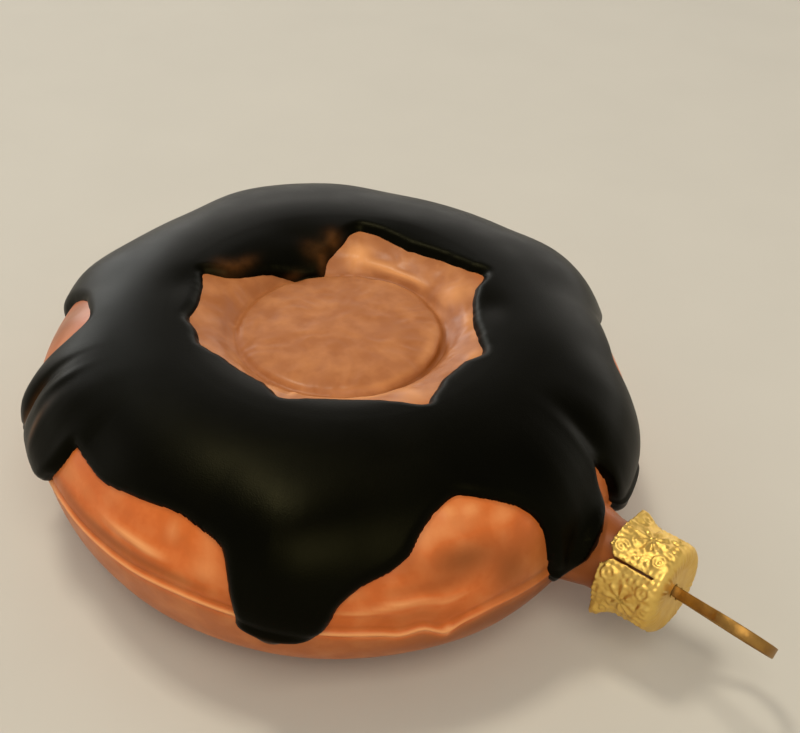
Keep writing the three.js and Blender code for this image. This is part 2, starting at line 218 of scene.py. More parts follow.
class AroundRing:
    """A smooth closed curve through (angle, value) pairs that never swings past them."""

    STEPS = 1440

    def __init__(self, pairs):
        self.table = [self.value(pairs, 360 * k / self.STEPS) for k in range(self.STEPS)]

    @staticmethod
    def value(pairs, angle):
        count = len(pairs)
        first = pairs[0][0]
        angle = first + (angle - first) % 360

        def at(i):
            turns, k = divmod(i, count)
            return pairs[k][0] + 360 * turns, pairs[k][1]

        def slope(i):
            (a0, v0), (a1, v1) = at(i), at(i + 1)
            return (v1 - v0) / (a1 - a0)

        def tangent(i):
            before, after = slope(i - 1), slope(i)
            return 0 if before * after <= 0 else 2 * before * after / (before + after)

        i = bisect_right([pair[0] for pair in pairs], angle) - 1
        (a0, v0), (a1, v1) = at(i), at(i + 1)
        span = a1 - a0
        t = (angle - a0) / span
        return (v0 * (1 + 2 * t) * (1 - t) ** 2 + v1 * t ** 2 * (3 - 2 * t)
                + span * (tangent(i) * t * (1 - t) ** 2 - tangent(i + 1) * t ** 2 * (1 - t)))

    def __call__(self, angle):
        place = (angle % 360) * self.STEPS / 360
        k = int(place)
        low, high = self.table[k % self.STEPS], self.table[(k + 1) % self.STEPS]
        return low + (high - low) * (place - k)


# ---------------------------------------------------------------- the ring's skin

def quarter(inner, outer, height, fullness, steps):
    """Quarter of a rounded square from (outer, 0) to (inner, height)."""
    points = []
    for k in range(steps + 1):
        turn = k / steps * math.pi / 2
        out = max(0.0, math.cos(turn)) ** (2 / fullness)
        up = math.sin(turn) ** (2 / fullness)
        points.append((inner + (outer - inner) * out, height * up))
    return points


def smooth_through(points, steps):
    """More points on a smooth curve through these."""
    finer = []
    last = len(points) - 1
    for i in range(last):
        a, b, c, d = (Vector(points[min(max(i + k, 0), last)]) for k in (-1, 0, 1, 2))
        for k in range(steps):
            t = k / steps
            p = 0.5 * (2 * b + (c - a) * t + (2 * a - 5 * b + 4 * c - d) * t ** 2
                       + (3 * b - a - 3 * c + d) * t ** 3)
            finer.append((p.x, p.y))
    return finer + [points[-1]]


class Skin:
    """The half section of the ring, measured as a distance over it from the disc's centre."""

    def __init__(self):
        upper = quarter(CREST[0], MEAN_RADIUS, CREST[1], SIDE_FULLNESS, 80)[::-1]
        lower = quarter(FOOT["outer"], MEAN_RADIUS, -FOOT["depth"], UNDERSIDE_FULLNESS, 60)
        under = [(FOOT["outer"], -FOOT["depth"]), (FOOT["inner"], -FOOT["depth"]),
                 (HOLLOW["radius"] + 3, -11.3), (HOLLOW["radius"], -HOLLOW["depth"]),
                 (0, -HOLLOW["depth"])]
        points = smooth_through(DISC_PROFILE + [CREST], 8)[:-1] + upper + lower[1:] + under[1:]
        self.points = points
        self.along = [0.0]
        for (r0, z0), (r1, z1) in zip(points, points[1:]):
            self.along.append(self.along[-1] + math.hypot(r1 - r0, z1 - z0))
        self.length = self.along[-1]
        self.seam = self.along[points.index((MEAN_RADIUS, 0.0))]

    def at(self, distance):
        """Radius and height so far over the skin, and the direction out of it."""
        distance = min(max(distance, 0.0), self.length)
        i = min(bisect_right(self.along, distance), len(self.along) - 1)
        span = self.along[i] - self.along[i - 1]
        t = (distance - self.along[i - 1]) / span
        (r0, z0), (r1, z1) = self.points[i - 1], self.points[i]
        return r0 + (r1 - r0) * t, z0 + (z1 - z0) * t, (z0 - z1) / span, (r1 - r0) / span


SKIN = Skin()
seam_radius = AroundRing(SEAM_RADII)
seam_height = AroundRing(SEAM_HEIGHTS)
inner_edge = AroundRing(INNER_EDGE)
outer_edge = AroundRing(OUTER_EDGE)
dough_lumps = Spots(DOUGH_LUMPS)


def stretched(radius, angle):
    """The ring's true radius where the even section has this one."""
    if radius <= DISC_RADIUS:
        return radius
    share = (radius - DISC_RADIUS) / (MEAN_RADIUS - DISC_RADIUS)
    return DISC_RADIUS + share * (seam_radius(angle) - DISC_RADIUS)


def dough_relief(angle, distance, settings):
    """How far the blown glass stands out of the even skin, in mm."""
    height = settings.lumps * dough_lumps(angle, distance)
    from_seam = distance - SKIN.seam
    proud = settings.seam_proud / MM
    height += proud * soft_spot(from_seam / 0.3, 0)
    height -= 0.5 * proud * soft_spot((from_seam + 0.8) / 0.45, 0)
    return height


def mottling(angle, distance):
    """The small shallow waves and creases of the closed middle and its rim, in mm."""
    turn = math.radians(angle)
    place = Vector((distance * math.cos(turn), distance * math.sin(turn), 0))
    bent = place + MOTTLING["bend"] * noise.noise_vector(place * MOTTLING["bend_scale"])
    wave = noise.noise(bent * MOTTLING["wave_scale"] + Vector((3, 7, 2)))
    fold = noise.noise(bent * MOTTLING["crease_scale"] + Vector((9, 1, 4)))
    crease = math.hypot(fold, MOTTLING["crease_width"])
    fade = smoothstep(distance, 0, 4) * (1 - smoothstep(distance, 20, 25))
    return fade * (MOTTLING["wave"] * wave - MOTTLING["crease"] * crease)


def disc_shift(angle, distance):
    """How much further out the disc's rim and the groove round it lie at this angle."""
    out = DISC_SHIFT["all"] + DISC_SHIFT["far"] * math.cos(
        math.radians(angle - DISC_SHIFT["angle"]))
    return out * smoothstep(distance, 6, 12.5) * (1 - smoothstep(distance, 15, 19))


def over_dough(angle, distance, lift, settings, blend=NECK["blend"]):
    """A point over the dough's skin, in mm about the ring's centre, with the neck blended in."""
    r, z, out_r, out_z = SKIN.at(distance - disc_shift(angle, distance))
    rise = lift + dough_relief(angle, distance, settings)
    radius = stretched(r + out_r * rise, angle)
    follow = smoothstep(abs(distance - SKIN.seam), SEAM_REACH, 0)
    height = z + out_z * rise + seam_height(angle) * follow
    turn = math.radians(angle)
    x, y = radius * math.cos(turn), radius * math.sin(turn)
    from_axis = math.hypot(y, height - NECK["height"])
    tube = NECK["radius"] + lift
    if x > 0 and from_axis < tube + NECK["blend_reach"]:
        out = math.sqrt(max(0.0, from_axis - tube) / NECK["flare_spread"])
        flare = NECK["flare_end"] - NECK["flare_length"] * out
        fade = smoothstep(from_axis, tube + 1, tube + NECK["blend_reach"])
        x = smooth_max(x, flare, blend * (1 - 0.85 * fade))
    return Vector((x, y, height))


# ---------------------------------------------------------------- helpers for meshes

def linked_object(name, made, material):
    """Makes a bmesh an object of the scene, with its material."""
    mesh = bpy.data.meshes.new(name)
    made.to_mesh(mesh)
    made.free()
    mesh.materials.append(material)
    made_object = bpy.data.objects.new(name, mesh)
    bpy.context.scene.collection.objects.link(made_object)
    return made_object


def finish_piece(name, made, material, node):
    """Puts a bmesh, in mm about the ring's centre, in the frame in the place of a node."""
    bmesh.ops.scale(made, vec=(MM, MM, MM), verts=made.verts)
    bmesh.ops.translate(made, vec=RING_CENTRE, verts=made.verts)
    piece = linked_object(name, made, material)
    piece.data.shade_smooth()
    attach(piece, "root")
    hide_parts(node)


def spun_profile(profile, steps):
    """A closed surface made by spinning (radius, height) points about the Z axis."""
    made = bmesh.new()
    line = [made.verts.new((r, 0, z)) for r, z in profile]
    edges = [made.edges.new(pair) for pair in zip(line, line[1:])]
    bmesh.ops.spin(made, geom=line + edges, cent=(0, 0, 0), axis=(0, 0, 1),
                   angle=2 * math.pi, steps=steps, use_merge=True)
    bmesh.ops.remove_doubles(made, verts=made.verts, dist=1e-5)
    bmesh.ops.recalc_face_normals(made, faces=made.faces)
    return made


def grid_round(steps, rows):
    """A fine grid to be wrapped round an axis: each corner's share of the turn and its row."""
    made = bmesh.new()
    bmesh.ops.create_grid(made, x_segments=steps, y_segments=rows, size=0.5)
    for vert in made.verts:
        vert.co = (round((vert.co.x + 0.5) * steps) % steps / steps,
                   round((vert.co.y + 0.5) * rows), 0)
    return made


def close_round(made):
    """Joins a wrapped grid's two ends, and its first and last rows where they meet."""
    bmesh.ops.remove_doubles(made, verts=made.verts, dist=1e-5)
    bmesh.ops.recalc_face_normals(made, faces=made.faces)


def on_neck():
    """Turns a piece spun about the Z axis to lie along the neck, its top to the far end."""
    return (Matrix.Translation((0, 0, NECK["height"]))
            @ Matrix.Rotation(math.pi / 2, 4, "Y"))


def colour(rgb):
    """A colour given as it looks on screen, as Blender's linear values."""
    linear = [c / 12.92 if c <= 0.04045 else ((c + 0.055) / 1.055) ** 2.4 for c in rgb]
    return (*linear, 1.0)


# ---------------------------------------------------------------- helpers for materials

def new_material(name):
    material = bpy.data.materials.new(name)
    material.use_nodes = True
    return material, material.node_tree, material.node_tree.nodes["Principled BSDF"]


def feed(tree, value, socket):
    """Links another socket to this one, or sets it where the value is a number or colour."""
    if isinstance(value, bpy.types.NodeSocket):
        tree.links.new(value, socket)
    else:
        socket.default_value = value


def add_node(tree, kind, inputs=None, **values):
    node = tree.nodes.new(kind)
    for key, value in values.items():
        setattr(node, key, value)
    for key, value in (inputs or {}).items():
        feed(tree, value, node.inputs[key])
    return node


def object_place(tree):
    return add_node(tree, "ShaderNodeTexCoord").outputs["Object"]


def painted(tree, name):
    """The value that a piece's mesh holds under a name."""
    return add_node(tree, "ShaderNodeAttribute", attribute_name=name).outputs["Fac"]


def noise_value(tree, place, scale, detail, roughness, distortion=0.0):
    inputs = {"Vector": place, "Scale": scale, "Detail": detail, "Roughness": roughness,
              "Distortion": distortion}
    return add_node(tree, "ShaderNodeTexNoise", inputs).outputs["Fac"]


def spread(tree, value, low, high, new_low=0.0, new_high=1.0):
    """Maps a value's range to another, held at its ends."""
    inputs = {"Value": value, "From Min": low, "From Max": high, "To Min": new_low,
              "To Max": new_high}
    return add_node(tree, "ShaderNodeMapRange", inputs).outputs["Result"]


def mixed(tree, share, a, b):
    """Mixes two colours, from all of the first at 0 to all of the second at 1."""
    node = add_node(tree, "ShaderNodeMix", {0: share}, data_type="RGBA")
    colours = [socket for socket in node.inputs if socket.type == "RGBA"]
    for value, socket in zip((a, b), colours):
        feed(tree, value, socket)
    return next(socket for socket in node.outputs if socket.type == "RGBA")


def maths(tree, operation, a, b):
    return add_node(tree, "ShaderNodeMath", {0: a, 1: b}, operation=operation).outputs[0]


def give_surface(tree, shader, base, rough, height, strength, depth):
    """Gives a shader its colour, its roughness, and a bump as deep as this in metres."""
    tree.links.new(base, shader.inputs["Base Color"])
    tree.links.new(rough, shader.inputs["Roughness"])
    bump = add_node(tree, "ShaderNodeBump",
                    {"Strength": strength, "Distance": depth, "Height": height})
    tree.links.new(bump.outputs["Normal"], shader.inputs["Normal"])


# ---------------------------------------------------------------- helpers for settings

def length_setting(name, description, millimetres, least=0.0):
    return bpy.props.FloatProperty(
        name=name, description=description, default=millimetres * MM, min=least * MM,
        subtype="DISTANCE", unit="LENGTH")


def colour_setting(name, description, default):
    return bpy.props.FloatVectorProperty(
        name=name, description=description, default=default, size=3, min=0.0, max=1.0,
        subtype="COLOR_GAMMA")


def angle_setting(name, description, degrees):
    return bpy.props.FloatProperty(
        name=name, description=description, default=math.radians(degrees),
        subtype="ANGLE", unit="ROTATION")


def power_setting(name, description, watts):
    return bpy.props.FloatProperty(
        name=name, description=description, default=watts, min=0.0, unit="POWER")


# ---------------------------------------------------------------- dough

class DoughSettings(bpy.types.PropertyGroup):
    """Sizes and colours of the lacquered ring."""

    seam_proud: length_setting("Seam ridge", "How far the mould's seam stands out", 0.28)
    lumps: bpy.props.FloatProperty(
        name="Lumps", description="Strength of the soft lumps in the glass",
        default=1.0, min=0.0, max=2.0, subtype="FACTOR")
    grid: length_setting("Grid", "Size of the visible skin's mesh cells", 0.5, 0.2)
    body: colour_setting("Body", "Fried dough brown", (0.80, 0.40, 0.15))
    # The browner colour is also painted shade under the seam and on the dough's lower right.
    brown: colour_setting("Brown", "Browner lacquer of the middle", (0.655, 0.40, 0.22))
    # The pale colour is the airbrushed tone and the painted highlights; the dark one is random
    # darker patches and the painted shade in creases and under the seam.
    light: colour_setting("Light", "Paler airbrushed dough", (0.92, 0.64, 0.40))
    dark_and_shade: colour_setting("Dark", "Darker brown in the creases", (0.50, 0.26, 0.065))


# Where the dough is paler or darker: some airbrushed tone, but mostly painted highlights on
# ridges and folds and painted shade in creases, grooves and under the seam. Angle, distance
# over the skin, half widths and strength, above zero for paler and below zero for darker.
DOUGH_TONE_AND_LIGHT = [
    (277, 45.2, 5, 0.5, 1.0), (281, 45.7, 3, 0.6, 0.8), (273, 46.3, 3, 0.8, 0.3),
    (284.5, 42, 1.2, 1.2, 0.45), (291.5, 45, 2.2, 2.2, 0.45), (262, 44, 6, 1.5, 0.2),
    (257, 46, 3, 2.5, 0.3), (252, 50.5, 3, 1.5, 0.5), (285, 48.4, 9, 1.1, -0.6),
    (270, 48.4, 9, 1.3, -0.75), (258, 47.8, 5, 1.6, -0.6), (268, 43, 8, 1, -0.15),
    (326, 45.4, 6, 0.9, -0.4), (324, 48.8, 9, 0.9, -0.45), (345, 54, 30, 2.8, -1.0),
    (315, 47.5, 3, 0.28, 0.8), (318.5, 47.2, 2, 0.35, 0.6), (321, 46.7, 2, 0.35, 0.9),
    (324.5, 46.8, 3, 0.4, 0.7), (329, 47, 3, 0.35, 0.5), (313.5, 45.3, 3, 0.8, 0.35),
    (320.5, 44, 1.6, 0.7, 0.35), (331.5, 37.8, 1.4, 0.8, 0.6), (335.5, 38.3, 1.6, 0.8, 0.6),
    (331, 39.6, 5, 1.6, 0.4), (341, 40.5, 3, 0.9, 0.45), (345.5, 42.6, 2, 1.1, 0.4),
    (347, 44.3, 1.4, 0.9, 0.35), (326.5, 40.5, 1.2, 2, 0.3), (318, 51.2, 5, 0.5, 0.6),
    (325, 51.3, 3, 0.5, 0.6), (328.6, 51, 0.8, 1.1, 1.0), (333, 51, 3, 0.8, 0.4),
    (332, 43.4, 6, 1.9, -1.0), (340, 46.6, 4, 3, -0.8), (346, 43, 3, 3, -0.3),
    (347, 48, 1.3, 5, -0.4), (322, 42.5, 3, 2, -0.25), (337, 52.5, 6, 1.2, -0.3),
    (124, 17.8, 6, 1.8, 1.0), (113, 16.9, 9, 0.7, 0.8), (100, 16.45, 10, 0.35, 1.0),
    (88, 16.5, 7, 0.5, 0.5), (65, 18, 7, 2.2, 0.7), (42, 18.3, 6, 0.9, 0.6),
    (30, 19.4, 5, 0.6, 0.4), (292, 16.5, 1.6, 2.6, 0.9), (284, 16.5, 5, 2.4, 0.5),
    (300, 15.2, 9, 1.0, 0.35), (340, 19.5, 4, 2.4, 0.6), (14, 20.8, 4, 1, 0.5),
    (325, 16, 8, 1.5, 0.3), (216, 40, 9, 5, -0.8),
    (210, 17, 18, 2.4, -0.2), (100, 13.9, 18, 0.5, 0.3), (20, 12, 18, 0.7, 0.35),
    (330, 12.4, 25, 0.6, 0.3), (318, 16, 24, 2, 0.6), (60, 14, 20, 0.5, -0.3),
    (14, 13.6, 19, 0.4, -1.3), (345, 13.7, 12, 0.3, -0.7), (38, 14.1, 11, 0.4, -0.9),
    (105, 15.2, 24, 0.45, -0.55), (70, 15.6, 12, 0.4, -0.35), (172, 15.6, 12, 0.9, -0.45),
    (158, 13.6, 6, 0.8, -0.5), (138, 13.2, 3, 0.7, -0.35), (205, 14.7, 14, 0.35, -0.35),
    (235, 13.9, 16, 0.25, -0.4), (280, 13.3, 28, 0.2, -0.35), (340, 13.4, 20, 0.25, -0.6),
    (48, 16.4, 10, 0.7, -0.3),
]
DOUGH_BROWNED_AND_SHADED = [  # browner patches away from the middle, partly browner lacquer and partly painted shade, as the spots above
    (331, 43.2, 7, 2.6, 0.3), (341, 48, 5, 3.5, 0.4), (346, 50, 4, 5, 0.5),
    (0, 46, 10, 8, 0.4), (296, 46, 5, 4, 0.2), (253, 47, 4, 4, 0.3), (216, 40, 9, 6, 0.7),
]
# Painted highlight on the seam's ridge and painted shade in the groove above it.
SEAM_HIGHLIGHT_AND_SHADE = {"ridge": 0.8, "ridge_width": 0.24, "groove": 0.16, "groove_above": 0.75,
              "groove_width": 0.4, "by_neck": 0.3}


def dough_material(settings):
    """Satin lacquer: brown, paler and darker in painted highlights and painted shade as well as
    airbrushed tone, with a fine uneven surface.
    """
    material, tree, shader = new_material("dough_lacquer")
    place = object_place(tree)
    paint = painted(tree, "paint")
    # Tone above a half is painted highlight or airbrushed tone, below a half painted shade.
    paler = spread(tree, paint, 0.5, 1.0)
    darker = spread(tree, paint, 0.5, 0.0)
    patches = noise_value(tree, place, 300, 3, 0.5, 0.1)
    clouds = spread(tree, patches, 0.45, 0.75, 0.0, 0.24)
    depths = spread(tree, patches, 0.5, 0.25, 0.0, 0.18)
    base = mixed(tree, painted(tree, "brown"), colour(settings.body), colour(settings.brown))
    base = mixed(tree, clouds, base, colour(settings.light))
    base = mixed(tree, depths, base, colour(settings.dark_and_shade))
    base = mixed(tree, maths(tree, "MULTIPLY", paler, 0.8), base, colour(settings.light))
    base = mixed(tree, maths(tree, "MULTIPLY", darker, 0.85), base, colour(settings.dark_and_shade))
    rough = spread(tree, noise_value(tree, place, 260, 2, 0.5), 0.3, 0.7, 0.34, 0.46)
    shader.inputs["Specular IOR Level"].default_value = 0.25
    fine = noise_value(tree, place, 900, 3, 0.6)
    give_surface(tree, shader, base, rough, fine, strength=0.12, depth=0.15 * MM)
    return material


def dough_rows(grid):
    """Distances over the skin for the rows of the mesh, finer on top and at the seam."""
    rows = [0.0]
    while rows[-1] < SKIN.length - grid:
        here = rows[-1]
        if abs(here - SKIN.seam) < 1.5:
            step = 0.3 * grid
        elif here < SKIN.seam:
            step = grid * (0.6 if 11 < here < 19 else 1)
        else:
            step = grid * (1.3 if here < SKIN.seam + 12 else 2.6)
        rows.append(here + step)
    rows[-1] = SKIN.length
    return rows


def seam_highlight_and_shade(angle, distance):
    """The painted highlight on the seam's ridge and the painted shade in the groove above it,
    less near the neck.
    """
    from_seam = distance - SKIN.seam
    away = smoothstep(abs(degrees_between(angle, 0)), 25, 36)
    share = SEAM_HIGHLIGHT_AND_SHADE["by_neck"] + (1 - SEAM_HIGHLIGHT_AND_SHADE["by_neck"]) * away
    ridge = soft_spot(from_seam / SEAM_HIGHLIGHT_AND_SHADE["ridge_width"], 0)
    groove = soft_spot((from_seam + SEAM_HIGHLIGHT_AND_SHADE["groove_above"]) / SEAM_HIGHLIGHT_AND_SHADE["groove_width"], 0)
    return share * (SEAM_HIGHLIGHT_AND_SHADE["ridge"] * ridge - SEAM_HIGHLIGHT_AND_SHADE["groove"] * groove)


def build_dough(settings):
    """The ring with its closed middle, its seam and lumps, and the neck that grows out of it."""
    airbrush_and_light = Spots(DOUGH_TONE_AND_LIGHT)
    browned_and_shaded = Spots(DOUGH_BROWNED_AND_SHADED)
    rows = dough_rows(settings.grid / MM)
    steps = round(2 * math.pi * MEAN_RADIUS / (settings.grid / MM) / 1.35)
    made = grid_round(steps, len(rows) - 1)
    paint = made.verts.layers.float.new("paint")
    brown = made.verts.layers.float.new("brown")

    for vert in made.verts:
        angle, distance = 360 * vert.co.x, rows[round(vert.co.y)]
        # Tone from the spots and the seam: painted highlights and painted shade, with some
        # airbrushed tone.
        tone = 0.5 + 0.5 * airbrush_and_light(angle, distance) + seam_highlight_and_shade(angle, distance)
        # Under the seam the dough is browner: painted shade under the ring.
        under_seam = smoothstep(distance, SKIN.seam + 0.3, SKIN.seam + 1.5)
        in_middle = 1 - smoothstep(distance, MIDDLE["reach"], MIDDLE["fade"])
        vert[brown] = max(in_middle, browned_and_shaded(angle, distance), 0.6 * under_seam)
        lift = settings.lumps * mottling(angle, distance)
        # In the middle the creases are painted darker and the crests paler: painted shade and
        # painted highlight.
        if distance < MIDDLE["reach"]:
            tone += 0.5 * (lift + 0.045)
        vert[paint] = clamp01(tone)
        vert.co = over_dough(angle, distance, lift, settings)
    close_round(made)
    open_neck(made)
    bmesh.ops.recalc_face_normals(made, faces=made.faces)
    finish_piece("dough_ring", made, dough_material(settings), "dough")


def open_neck(made):
    """Cuts the skin round the neck's axis and carries the tube on from there."""
    axis_height = NECK["height"]
    inside = [face for face in made.faces
              if (centre := face.calc_center_median()).x > 20
              and math.hypot(centre.y, centre.z - axis_height) < NECK["radius"] + 0.15]
    bmesh.ops.delete(made, geom=inside, context="FACES")
    rim = [edge for edge in made.edges if edge.is_boundary]
    for vert in {vert for edge in rim for vert in edge.verts}:
        away = Vector((0, vert.co.y, vert.co.z - axis_height))
        away = away.normalized() * (NECK["radius"] + 0.1)
        vert.co = Vector((NECK["flare_end"] - 0.7, away.y, axis_height + away.z))

    radius, end, bore = NECK["radius"], NECK["end"], NECK["bore"]
    bore_end = end - NECK["bore_depth"]
    tube = [(radius, NECK["flare_end"] + 0.5), (radius, 47), (radius, end - 0.3),
            (radius - 0.3, end), (bore + 0.2, end), (bore, end - 0.2), (bore, bore_end),
            (0, bore_end)]
    neck = spun_profile(tube, 64)
    neck.transform(on_neck())
    mesh = bpy.data.meshes.new("neck_tube")
    neck.to_mesh(mesh)
    neck.free()
    made.from_mesh(mesh)
    bpy.data.meshes.remove(mesh)
    loops = [edge for edge in made.edges if edge.is_boundary]
    bmesh.ops.bridge_loops(made, edges=loops)
    paint = made.verts.layers.float["paint"]
    brown = made.verts.layers.float["brown"]
    for vert in made.verts:
        from_axis = math.hypot(vert.co.y, vert.co.z - axis_height)
        if vert.co.x > NECK["flare_end"] - 3 and from_axis < radius + 1:
            vert[paint] = 0.02
            vert[brown] = 0.3


class ORNAMENT_OT_dough(bpy.types.Operator):
    """Build the lacquered glass ring with its neck"""

    bl_idname = "ornament.dough"
    bl_label = "Dough Ring"

    def execute(self, context):
        build_dough(context.scene.ornament_dough)
        return {"FINISHED"}


# ---------------------------------------------------------------- icing

class IcingSettings(bpy.types.PropertyGroup):
    """Sizes and colours of the raised icing."""

    thickness: length_setting("Thickness", "Rise of the icing over the dough", 0.95, 0.1)
    ridge: length_setting("Ridge", "How much further the drips stand out", 1.0)
    round_over: length_setting("Round-over", "Width over which the edge rounds down", 1.5, 0.1)
    grid: length_setting("Grid", "Size of the mesh cells", 0.35, 0.2)
    body: colour_setting("Body", "Bitter chocolate, nearly black", (0.01, 0.01, 0.006))
    # This brown also paints a highlight on the left drips.
    thin: colour_setting("Thin", "Brown where the lacquer is thin", (0.32, 0.19, 0.08))


ICING_MARGIN = 1.6  # how far the icing's skirt runs on under the dough's skin
ICING_DEPTH = 1.1  # how far under that skin the layer's lower side lies
ICING_SINK = 0.9  # how far its top sinks under that skin past its edges
ICING_WIDTH = 32  # about how wide the band is, which sets the number of rows
ICING_THIN_AND_SHEEN = [  # where the lacquer is thin, and a painted highlight on the left drips: as the spots above, 1 for quite bare
    (182, 19.3, 7, 0.9, 0.8), (188, 20.6, 4, 1.4, 0.6), (142, 16.6, 3, 1.8, 0.9),
    (136, 19.6, 3.5, 1.6, 0.9), (147, 18.4, 4, 1.4, 0.4), (160, 15.6, 5, 0.5, 0.5),
    # The last three spots, on the left drips, stand also for a pinkish highlight: painted
    # highlight.
    (304, 51.8, 5, 0.6, 0.8), (237.2, 48.2, 1.4, 2.2, 1.0),
    (236.9, 44, 0.9, 2.2, 0.7), (244.5, 44.5, 0.9, 2.6, 0.8),
]
ICING_LUMPS = [  # angle, distance over the skin, half widths, height
    (6.5, 40, 2.4, 4.5, -0.6), (236.9, 43.5, 1.5, 4.5, -0.95), (30, 30, 12, 4, 0.15),
    (232.6, 46, 1.9, 5, 0.45), (241.5, 40, 1.4, 3.5, 0.25), (252, 42, 4, 5, -0.2),
    (45, 22, 9, 2.2, -0.3), (205, 23, 10, 2.2, -0.3), (245.5, 44, 2, 4, 0.25),
    (262, 39, 7, 3, -0.3), (352, 46, 4, 5, 0.1), (304, 44, 6, 6, 0.25),
    (110, 25, 14, 3, 0.2), (150, 21, 10, 2.5, -0.25), (325, 30, 16, 5, -0.15),
]
icing_lumps = Spots(ICING_LUMPS)


def drips_about(angle):
    """How much of the icing about an angle runs down as a drip, from 0 to 1."""
    reach = RIDGE["blend"]
    shares = [smoothstep(outer_edge(angle + shift), RIDGE["valley_edge"], RIDGE["drip_edge"])
              for shift in range(-reach, reach + 1)]
    return sum(shares) / len(shares)


drip_share = AroundRing([(angle, drips_about(angle)) for angle in range(0, 360, 2)])


def neck_limit(point):
    """How far along the neck the icing reaches, at the side of it where a point is, in mm."""
    around = math.degrees(math.atan2(point.z - NECK["height"], point.y))
    share = degrees_between(around, NECK_EDGE["middle"]) / NECK_EDGE["span"]
    if share < 0:
        fall = NECK_EDGE["upper_fall"] * share * share
    else:
        fall = NECK_EDGE["lower_fall"] * (smoothstep(share, 0.1, 1) + smoothstep(share, 1, 1.7))
    clear, rise = (0.4, 10) if point.y > 0 else (3, 8)
    free_from = NECK["radius"] + clear
    beside = rise * smoothstep(abs(point.y), free_from, free_from + 2.6)
    return NECK_EDGE["reach"] - fall + beside


def brush_wander(angle, seed):
    """How far a hand-painted edge strays from its smooth line, in mm."""
    turn = math.radians(angle)
    around = EDGE_WAVE["radius"]
    place = Vector((around * math.cos(turn), around * math.sin(turn), seed))
    return EDGE_WAVE["height"] * noise.noise(place)


def painted_inner(angle):
    return inner_edge(angle) + brush_wander(angle, 0)


def painted_outer(angle):
    return outer_edge(angle) + brush_wander(angle, 50)


class EdgeDistance:
    """Signed distance to the icing's outline, above zero on the icing, in mm."""

    PER_DEGREE = 20

    def __init__(self):
        samples = []
        for k in range(360 * self.PER_DEGREE):
            angle = k / self.PER_DEGREE
            samples.append(self.place(angle, painted_inner(angle)))
            samples.append(self.place(angle, painted_outer(angle)))
        self.tree = kdtree.KDTree(len(samples))
        for index, point in enumerate(samples):
            self.tree.insert(point, index)
        self.tree.balance()

    @staticmethod
    def place(angle, distance):
        r, z, _, _ = SKIN.at(distance)
        radius, turn = stretched(r, angle), math.radians(angle)
        return Vector((radius * math.cos(turn), radius * math.sin(turn), z))

    def __call__(self, angle, distance):
        away = self.tree.find(self.place(angle, distance))[2]
        on_icing = painted_inner(angle) < distance < painted_outer(angle)
        return away if on_icing else -away


def icing_lift(angle, distance, away, settings):
    """The icing's height over the dough, dropping under it outside the outline."""
    thickness, ridge = settings.thickness / MM, settings.ridge / MM
    fullness = smoothstep(distance, RIDGE["from"], RIDGE["full"]) * drip_share(angle)
    full = thickness + ridge * fullness + icing_lumps(angle, distance)
    near = clamp01(abs(away) / (settings.round_over / MM))
    # A quarter circle at the outer edge, and a gentler slope at the inner one.
    slope = 0.5 + 0.35 * (1 - smoothstep(distance, 26, 32))
    rise = full * (1 - (1 - near) ** 2) ** slope
    return rise if away > 0 else max(-ICING_SINK, -rise)


def icing_material(settings):
    """Satin lacquer, nearly black, with a fine grain, and brown where it is thin and in a painted
    highlight on the left drips.
    """
    material, tree, shader = new_material("icing_lacquer")
    place = object_place(tree)
    broken = spread(tree, noise_value(tree, place, 700, 3, 0.5), 0.3, 0.7, 0.5, 1.0)
    share = maths(tree, "MULTIPLY", painted(tree, "thin"), broken)
    base = mixed(tree, share, colour(settings.body), colour(settings.thin))
    rough = spread(tree, noise_value(tree, place, 180, 3, 0.5), 0.3, 0.7, 0.31, 0.38)
    shader.inputs["Specular IOR Level"].default_value = 0.045
    shader.inputs["Specular Tint"].default_value = (1.0, 0.92, 0.4, 1.0)
    grain = noise_value(tree, place, 5200, 2, 0.6)
    give_surface(tree, shader, base, rough, grain, strength=0.4, depth=0.05 * MM)
    return material


def build_icing(settings):
    """The raised icing: a closed band whose top sinks into the dough at its two edges."""
    away_from_edge = EdgeDistance()
    thin_and_sheen_paint = Spots(ICING_THIN_AND_SHEEN)
    dough = bpy.context.scene.ornament_dough
    grid = settings.grid / MM
    tops = round(ICING_WIDTH / grid)
    unders = round(tops / 4)
    rows = tops + unders
    steps = round(2 * math.pi * MEAN_RADIUS / grid)

    made = grid_round(steps, rows)
    thin = made.verts.layers.float.new("thin")

    for vert in made.verts:
        angle, row = 360 * vert.co.x, round(vert.co.y) % rows
        on_top = row <= tops
        share = row / tops if on_top else (rows - row) / unders
        start, end = first_row(angle) - ICING_MARGIN, last_row(angle) + ICING_MARGIN
        distance = start + (end - start) * share
        if on_top:
            away = away_from_edge(angle, distance)
            by_neck = (abs(degrees_between(angle, 0)) < NECK_EDGE["within"]
                       and distance > NECK_EDGE["from"])
            if by_neck:
                bare = over_dough(angle, distance, 0, dough)
                away = min(away, neck_limit(bare) - bare.x)
            lift = icing_lift(angle, distance, away, settings)
        else:
            lift = -ICING_DEPTH
        vert[thin] = clamp01(thin_and_sheen_paint(angle, distance))
        blend = NECK["blend"] + 3 * smoothstep(lift, 0, 0.8)
        vert.co = over_dough(angle, distance, lift, dough, blend)
        if on_top and by_neck:
            vert.co.x = -smooth_max(-vert.co.x, -neck_limit(vert.co), 0.8)
    close_round(made)
    finish_piece("icing_layer", made, icing_material(settings), "icing")


def furthest(edge, pick, angle):
    """An edge's furthest reach near an angle, evened out, so that the mesh isn't sheared."""
    reach = [pick(edge(angle + near + shift) for shift in range(-5, 6)) for near in range(-4, 5)]
    return sum(reach) / len(reach)


